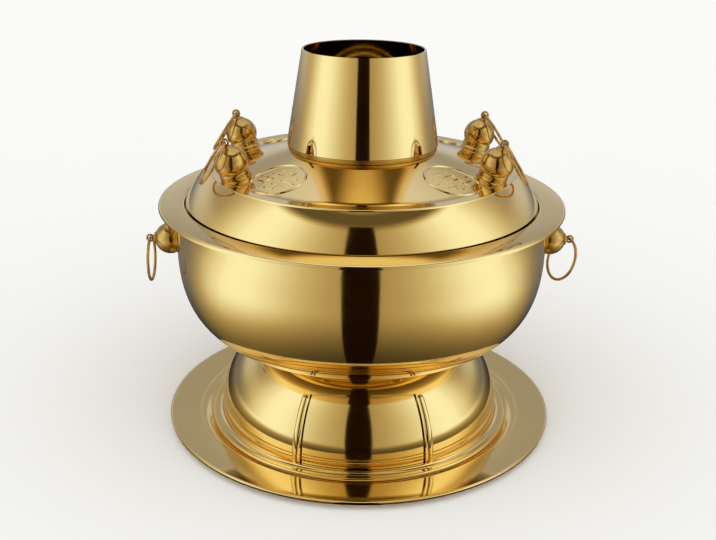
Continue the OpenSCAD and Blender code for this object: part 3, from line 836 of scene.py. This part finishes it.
def knob_head(name, collar, material, segments=64):
    """Collar, ball, cap and eye on a local +Z, as one mesh in metres about the ball's centre. collar is the
    collar's outline in millimetres, measured from the ball's centre."""
    pieces = [spun("collar", collar, material, segments)]
    cut = 6.4
    start = -math.degrees(math.asin(cut / BALL_R))
    edge = (BALL_R * math.cos(math.radians(start)), -cut)
    outline = [(0, -cut), edge, *arc((0, 0), BALL_R, start + 4, 67, 40)]
    ball = [(0, -cut)] + softened(outline, [0.4] + [0] * 40)[1:]
    cap = softened(
        [ball[-1], (5.2, 12.3), (5.2, 13.3), (3.6, 13.6), (3.4, 14.1), (2.2, 14.5), (0, 14.6)],
        [0.2, 0.5, 0.3, 0.3, 0.6],
    )
    pieces.append(spun("ball", ball + cap[1:], material, segments))
    up, r = EYE_OVER_BALL * MM, EYE_R * MM
    turns = np.linspace(0, 2 * math.pi, 48, endpoint=False)
    eye = [(r * math.sin(a), 0, up + r * math.cos(a)) for a in turns]
    pieces.append(tube("eye", eye, EYE_WIRE * MM, material, closed=True, sides=16))
    return joined(name, pieces)


def placed_copies(name, source, places, material):
    """Copies of a source mesh at places (point, Euler turn), made by a Geometry Nodes tree and turned into
    one plain mesh."""
    mesh = bpy.data.meshes.new(name + "_points")
    mesh.from_pydata([tuple(p) for p, _ in places], [], [])
    turns = mesh.attributes.new("turn", "FLOAT_VECTOR", "POINT")
    for i, (_, turn) in enumerate(places):
        turns.data[i].vector = turn
    holder = bpy.data.objects.new(name, mesh)
    bpy.context.scene.collection.objects.link(holder)

    tree = bpy.data.node_groups.new(name + "_layout", "GeometryNodeTree")
    tree.interface.new_socket("Geometry", in_out="INPUT", socket_type="NodeSocketGeometry")
    tree.interface.new_socket("Piece", in_out="INPUT", socket_type="NodeSocketObject")
    size = tree.interface.new_socket("Size", in_out="INPUT", socket_type="NodeSocketFloat")
    size.default_value = 1.0
    tree.interface.new_socket("Finish", in_out="INPUT", socket_type="NodeSocketMaterial")
    tree.interface.new_socket("Geometry", in_out="OUTPUT", socket_type="NodeSocketGeometry")
    given = add(tree, "NodeGroupInput")
    shape = add(tree, "GeometryNodeObjectInfo", {"Object": given.outputs["Piece"]})
    turn = add(tree, "GeometryNodeInputNamedAttribute", {"Name": "turn"}, data_type="FLOAT_VECTOR")
    rotation = add(tree, "FunctionNodeEulerToRotation", {0: turn.outputs[0]})
    copies = add(
        tree,
        "GeometryNodeInstanceOnPoints",
        {
            "Points": given.outputs["Geometry"],
            "Instance": shape.outputs["Geometry"],
            "Rotation": rotation.outputs[0],
            "Scale": given.outputs["Size"],
        },
    )
    real = add(tree, "GeometryNodeRealizeInstances", {"Geometry": copies.outputs[0]})
    looks = {"Geometry": real.outputs[0], "Material": given.outputs["Finish"]}
    coloured = add(tree, "GeometryNodeSetMaterial", looks)
    add(tree, "NodeGroupOutput", {"Geometry": coloured.outputs[0]})

    layout = holder.modifiers.new("Layout", "NODES")
    layout.node_group = tree
    values = {"Piece": source, "Size": 1.0, "Finish": material}
    for item in tree.interface.items_tree:
        if item.in_out == "INPUT" and item.name in values:
            layout[item.identifier] = values[item.name]
    baked(holder)
    source_mesh = source.data
    bpy.data.objects.remove(source)
    bpy.data.meshes.remove(source_mesh)
    return holder


def turned(azimuth, lean):
    """Rotation that leans +Z over by an angle in degrees and turns it to an azimuth."""
    lean = Matrix.Rotation(math.radians(lean), 3, "Y")
    return Matrix.Rotation(math.radians(azimuth), 3, "Z") @ lean


def above_lid(azimuth, up):
    """Point on a lid knob's axis, at a height above the sheet in millimetres."""
    r = KNOB_R + up * math.sin(SLOPE)
    a = math.radians(azimuth)
    return Vector((r * math.cos(a), r * math.sin(a), KNOB_Z + up * math.cos(SLOPE))) * MM


class HOTPOT_OT_knobs(bpy.types.Operator):
    """Make the lid's four knobs and the bowl's two side handles, without their rings"""

    bl_idname = "hotpot.knobs"
    bl_label = "Knobs"

    def execute(self, context):
        brass = finish("Aged turned brass")
        foot = -BALL_UP
        collar = softened(
            [
                (0, foot - 1), (12.8, foot - 1), (12.9, foot + 1.2), (12.0, foot + 2.3), (11.8, foot + 3.2),
                (11.9, foot + 6.9), (11.1, foot + 8.0), (0, foot + 8.0),
            ],
            [0.2, 0.6, 0.4, 0.4, 0.7, 0.5],
        )
        head = knob_head("lid_knob_head", collar, brass)
        places = []
        for azimuth, fall in KNOB_PLACES.values():
            basis = Matrix.Rotation(math.radians(azimuth), 3, "Z") @ Matrix.Rotation(SLOPE, 3, "Y")
            basis = basis @ Matrix.Rotation(math.radians(fall - azimuth), 3, "Z")
            places.append((above_lid(azimuth, BALL_UP), basis.to_euler()))
        knobs = placed_copies("lid_knobs", head, places, brass)
        nodes = [f"{k}_knob_{p}" for k in KNOB_PLACES for p in ("collar", "ball", "eye")]
        stand_for(knobs, "lid", "antique_brass", *nodes)

        flange = softened([(0, -7.8), (12.9, -7.8), (12.9, -6.6), (12.5, -6.4), (0, -6.4)], [0.1, 0.3, 0.2])
        head = knob_head("side_knob_head", flange, brass)
        eye_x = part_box("right_handle_eye")[1].x / MM
        ball_x = eye_x - EYE_HALF - EYE_OVER_BALL
        places = []
        for turn in (0, 180):
            centre = Vector((ball_x * MM * math.cos(math.radians(turn)), 0, HANDLE_Z))
            places.append((centre, turned(turn, 90).to_euler()))
        sides = placed_copies("side_knobs", head, places, brass)
        nodes = [f"{k}_handle_{p}" for k in ("right", "left") for p in ("collar", "ball", "eye")]
        stand_for(sides, "pot", "antique_brass", *nodes)
        return {"FINISHED"}


class HOTPOT_OT_rings(bpy.types.Operator):
    """Make the six wire rings"""

    bl_idname = "hotpot.rings"
    bl_label = "Rings"

    def execute(self, context):
        sizes = context.scene.hot_pot_sizes
        brass = finish("Aged turned brass")

        def ring(name, body, node, point, turn, lean):
            basis, r = turned(turn, lean), sizes.ring_r
            path = []
            for a in np.linspace(0, 2 * math.pi, 96, endpoint=False):
                path.append(point + basis @ Vector((0, r * math.sin(a), -r + r * math.cos(a))))
            piece = tube(name, path, sizes.ring_wire, brass, closed=True, sides=20)
            stand_for(piece, body, "antique_brass", node)

        for key, (azimuth, fall) in KNOB_PLACES.items():
            eye = above_lid(azimuth, EYE_UP)
            ring(f"{key}_wire_ring", f"{key}_lid_ring", f"{key}_ring", eye, fall, -32)
        eye_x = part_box("right_handle_eye")[1].x - EYE_HALF * MM
        right, left = Vector((eye_x, 0, HANDLE_Z)), Vector((-eye_x, 0, HANDLE_Z))
        ring("right_wire_ring", "right_side_ring", "right_handle_ring", right, 20, 21)
        ring("left_wire_ring", "left_side_ring", "left_handle_ring", left, 180, 0)
        return {"FINISHED"}


class HOTPOT_OT_inner(bpy.types.Operator):
    """Give the pieces inside the pot their finishes"""

    bl_idname = "hotpot.inner"
    bl_label = "Inner pieces"

    def execute(self, context):
        finishes = {
            "Brushed gold sheet": ["fire_tube", "shutter_rail_upper", "shutter_rail_lower", "lid_guide_ring"],
            "Blackened cast iron": ["hearth_ring", "charcoal_grate"],
            "Zinc-plated steel": ["lid_knob_nuts", "handle_nuts"],
        }
        for name, nodes in finishes.items():
            for node in nodes:
                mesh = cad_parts[node].data
                mesh.materials.clear()
                mesh.materials.append(finish(name))
        return {"FINISHED"}


def curve_node(tree, value, points):
    """Smooth curve through points of position and value, both from 0 to 1."""
    node = add(tree, "ShaderNodeFloatCurve", {"Value": value})
    curve = node.mapping.curves[0]
    curve.points[0].location, curve.points[1].location = points[0], points[-1]
    for point in points[1:-1]:
        curve.points.new(*point)
    node.mapping.update()
    return node.outputs[0]


def tent_material(name):
    """Light of a studio tent, by direction from the pot: brightest at about 70 degrees to both sides of the
    camera, falling off to the middle, with a cooler back, a dark front roof and a bright patch overhead."""
    material = blank_material(name)
    tree = material.node_tree

    def smooth(value, low, high, start=0.0, end=1.0):
        return spread(tree, value, low, high, start, end, interpolation_type="SMOOTHSTEP")

    def blend(part, a, b):
        inputs = {"Factor": part, "A": a, "B": b}
        return add(tree, "ShaderNodeMix", inputs, data_type="FLOAT").outputs[0]

    def maths(operation, a, b=0.0):
        return add(tree, "ShaderNodeMath", {0: a, 1: b}, operation=operation).outputs[0]

    place = add(tree, "ShaderNodeTexCoord").outputs["Object"]
    away = add(tree, "ShaderNodeVectorMath", {0: place}, operation="NORMALIZE")
    split = add(tree, "ShaderNodeSeparateXYZ", {0: away.outputs[0]})
    height = split.outputs[2]
    turn = maths("ARCTAN2", split.outputs[0], maths("MULTIPLY", split.outputs[1], -1.0))
    share = maths("DIVIDE", maths("ABSOLUTE", turn), math.pi)
    # Light of the wall by degrees from the camera, in hundredths.
    level = [
        (0, 30), (14, 38), (22, 43), (32, 52), (42, 64), (52, 76), (64, 86), (76, 87), (86, 76), (96, 60),
        (106, 44), (116, 31), (130, 24), (150, 20), (180, 16),
    ]
    wall = curve_node(tree, share, [(angle / 180, value / 100) for angle, value in level])
    wall = maths("MULTIPLY", wall, 1.2)
    back = curve_node(
        tree, height, [(0, 0.2), (0.08, 0.3), (0.29, 0.66), (0.5, 0.4), (0.7, 0.7), (0.82, 0.85), (1, 0.85)]
    )
    behind = smooth(share, 0.5, 0.75)
    wall = blend(behind, wall, back)
    roof = smooth(share, 0.45, 0.7, 0.12, 0.85)
    total = blend(smooth(height, 0.78, 0.85), wall, roof)
    total = blend(smooth(height, 0.9, 0.95), total, 0.9)

    # Painted shadow of the pot: the table top's light is dimmed close to the pot, as if the pot kept light
    # from it.
    corner = add(tree, "ShaderNodeSeparateXYZ", {0: place})
    flat = add(tree, "ShaderNodeCombineXYZ", {0: corner.outputs[0], 1: corner.outputs[1]})
    reach = add(tree, "ShaderNodeVectorMath", {0: flat.outputs[0]}, operation="LENGTH")
    table_painted_shadow = smooth(reach.outputs["Value"], 0.14, 0.5, 0.12, 1.0)
    above_table = maths("GREATER_THAN", corner.outputs[2], 0.2)
    total = maths("MULTIPLY", total, maths("MAXIMUM", table_painted_shadow, above_table))

    # Dim parts are warm and bright ones cool, as a lamp behind cloth is.
    ramp = add(tree, "ShaderNodeValToRGB", {0: maths("DIVIDE", total, 1.25)})
    stops = [
        (0.16, (0.8, 0.64, 0.336)), (0.36, (0.8, 0.664, 0.4)), (0.52, (0.8, 0.776, 0.592)),
        (0.72, (0.8, 0.864, 0.84)), (0.84, (0.8, 0.912, 0.984)),
    ]
    bands = ramp.color_ramp.elements
    bands[0].position, bands[1].position = stops[0][0], stops[-1][0]
    for position, _ in stops[1:-1]:
        bands.new(position)
    for band, (_, shade) in zip(bands, stops):
        band.color = (*shade, 1.0)
    cool = (0.71, 0.73, 0.8, 1.0)
    tints = {"Factor": behind, "A": ramp.outputs[0], "B": cool}
    tint = add(tree, "ShaderNodeMix", tints, data_type="RGBA").outputs[2]
    strength = maths("MULTIPLY", total, 1.25)
    light = add(tree, "ShaderNodeEmission", {"Color": tint, "Strength": strength})
    add(tree, "ShaderNodeOutputMaterial", {"Surface": light.outputs[0]})
    return material


def glow(name, code, strength):
    material = blank_material(name)
    tree = material.node_tree
    light = add(tree, "ShaderNodeEmission", {"Color": linear(code), "Strength": strength})
    add(tree, "ShaderNodeOutputMaterial", {"Surface": light.outputs[0]})
    return material


def studio_card(name, vertices, faces, material, turn=0.0):
    """A card that only shows up as a reflection in polished metal."""
    card = new_piece(name, [Matrix.Rotation(turn, 3, "Z") @ Vector(v) for v in vertices], faces, material)
    card.visible_camera = False
    card.visible_shadow = False
    card.visible_diffuse = False
    return card


# Sizes of the stage, in metres. The tent begins outside the tray and close above the floor.
FLOOR_HALF = 6.0
TENT_R, TENT_TOP = 1.5, 1.5
TENT_FOOT_R, TABLE_UP = 0.172, 0.0015
# The dark gap: its distances, top and height over the table, and half its width near and far.
GAP_NEAR, GAP_FAR, GAP_TOP, GAP_UP = 0.172, 0.95, 1.4, 0.003
GAP_HALF_NEAR, GAP_HALF_FAR = 0.019, 0.17

# The camera as fitted to the photograph, with its focal length in pixels of the photograph's width.
CAMERA_AWAY, CAMERA_Z = 0.8249, 0.4466
CAMERA_PITCH, CAMERA_ROLL, CAMERA_YAW = 20.86, 0.77, -0.17
FOCAL_PIXELS, PHOTO_WIDTH = 1012.1, 716
SENSOR_MM = 36.0


class HOTPOT_OT_stage(bpy.types.Operator):
    """Make the floor, the studio light and the camera"""

    bl_idname = "hotpot.stage"
    bl_label = "Stage"

    def execute(self, context):
        stage = context.scene.hot_pot_stage
        turn = stage.camera_turn
        paper = blank_material("Matt white paper")
        tree = paper.node_tree
        diffuse = add(tree, "ShaderNodeBsdfDiffuse", {"Color": (*stage.floor, 1.0), "Roughness": 1.0})
        add(tree, "ShaderNodeOutputMaterial", {"Surface": diffuse.outputs[0]})
        half = FLOOR_HALF
        corners = [(-half, -half, 0), (half, -half, 0), (half, half, 0), (-half, half, 0)]
        new_piece("floor", corners, [(0, 1, 2, 3)], paper)

        # A round light tent: a glossy table top, a wall and a roof, all lit by direction.
        steps = 72
        rows = [(TENT_FOOT_R, TABLE_UP), (TENT_R, TABLE_UP), (TENT_R, TENT_TOP), (0.001, TENT_TOP)]
        turns = [2 * math.pi * k / steps for k in range(steps)]
        vertices = [(r * math.cos(a), r * math.sin(a), z) for r, z in rows for a in turns]
        faces = [
            (i + k, i + (k + 1) % steps, i + steps + (k + 1) % steps, i + steps + k)
            for i in range(0, (len(rows) - 1) * steps, steps)
            for k in range(steps)
        ]
        studio_card("light_tent", vertices, faces, tent_material("Light tent"))

        # The gap of the tent at the camera is dark, and so is its mirror image in the table top. They
        # give the dark stripe down the middle of every polished piece.
        black = glow("Dark gap", "#2E1A0C", 0.35)
        gap = [
            (-GAP_HALF_NEAR, -GAP_NEAR, GAP_UP), (GAP_HALF_NEAR, -GAP_NEAR, GAP_UP),
            (GAP_HALF_FAR, -GAP_FAR, GAP_UP), (-GAP_HALF_FAR, -GAP_FAR, GAP_UP),
            (-GAP_HALF_FAR, -GAP_FAR, GAP_TOP), (GAP_HALF_FAR, -GAP_FAR, GAP_TOP),
        ]
        studio_card("camera_gap", gap, [(0, 1, 2, 3), (3, 2, 5, 4)], black, -turn)

        world = bpy.data.worlds.new("Studio")
        context.scene.world = world
        world.use_nodes = True
        tree = world.node_tree
        tree.nodes.clear()
        room = add(tree, "ShaderNodeBackground", {"Color": (1, 1, 1, 1), "Strength": 1.0})
        add(tree, "ShaderNodeOutputWorld", {"Surface": room.outputs[0]})

        place = Vector((-CAMERA_AWAY * math.sin(turn), -CAMERA_AWAY * math.cos(turn), CAMERA_Z))
        pitch, roll, yaw = (math.radians(a) for a in (CAMERA_PITCH, CAMERA_ROLL, CAMERA_YAW))
        swing = Matrix.Rotation(-yaw - turn, 3, "Z")
        forward = swing @ Vector((0, math.cos(pitch), -math.sin(pitch)))
        up = swing @ Vector((0, math.sin(pitch), math.cos(pitch)))
        right = swing @ Vector((1, 0, 0))
        c, s = math.cos(roll), math.sin(roll)
        right, up = right * c + up * s, up * c - right * s
        data = bpy.data.cameras.new("Camera")
        data.sensor_width = SENSOR_MM
        data.lens = FOCAL_PIXELS / PHOTO_WIDTH * SENSOR_MM
        camera = bpy.data.objects.new("Camera", data)
        axes = Matrix((right, up, -forward)).transposed().to_4x4()
        camera.matrix_world = Matrix.Translation(place) @ axes
        context.scene.collection.objects.link(camera)
        context.scene.camera = camera
        context.scene.view_settings.view_transform = "Standard"
        return {"FINISHED"}


class HOTPOT_PT_panel(bpy.types.Panel):
    """Sizes, finishes and pieces of the hot pot"""

    bl_label = "Chimney hot pot"
    bl_idname = "HOTPOT_PT_panel"
    bl_space_type = "VIEW_3D"
    bl_region_type = "UI"
    bl_category = "Hot pot"

    def draw(self, context):
        scene = context.scene
        for group in (scene.hot_pot_sizes, scene.hot_pot_finishes, scene.hot_pot_stage):
            box = self.layout.box()
            for key in group.__annotations__:
                box.prop(group, key)
        for operator in OPERATORS:
            self.layout.operator(operator.bl_idname)


OPERATORS = (
    HOTPOT_OT_tray,
    HOTPOT_OT_base,
    HOTPOT_OT_bowl,
    HOTPOT_OT_lid,
    HOTPOT_OT_knobs,
    HOTPOT_OT_rings,
    HOTPOT_OT_inner,
    HOTPOT_OT_stage,
)
CLASSES = (HotPotSizes, HotPotFinishes, HotPotStage, *OPERATORS, HOTPOT_PT_panel)


def register():
    for item in CLASSES:
        bpy.utils.register_class(item)
    bpy.types.Scene.hot_pot_sizes = PointerProperty(type=HotPotSizes)
    bpy.types.Scene.hot_pot_finishes = PointerProperty(type=HotPotFinishes)
    bpy.types.Scene.hot_pot_stage = PointerProperty(type=HotPotStage)


def unregister():
    for name in ("hot_pot_sizes", "hot_pot_finishes", "hot_pot_stage"):
        delattr(bpy.types.Scene, name)
    for item in reversed(CLASSES):
        bpy.utils.unregister_class(item)


def main():
    register()
    bpy.ops.hotpot.tray()
    bpy.ops.hotpot.base()
    bpy.ops.hotpot.bowl()
    bpy.ops.hotpot.lid()
    bpy.ops.hotpot.knobs()
    bpy.ops.hotpot.rings()
    bpy.ops.hotpot.inner()
    bpy.ops.hotpot.stage()


if __name__ == "__main__":
    main()
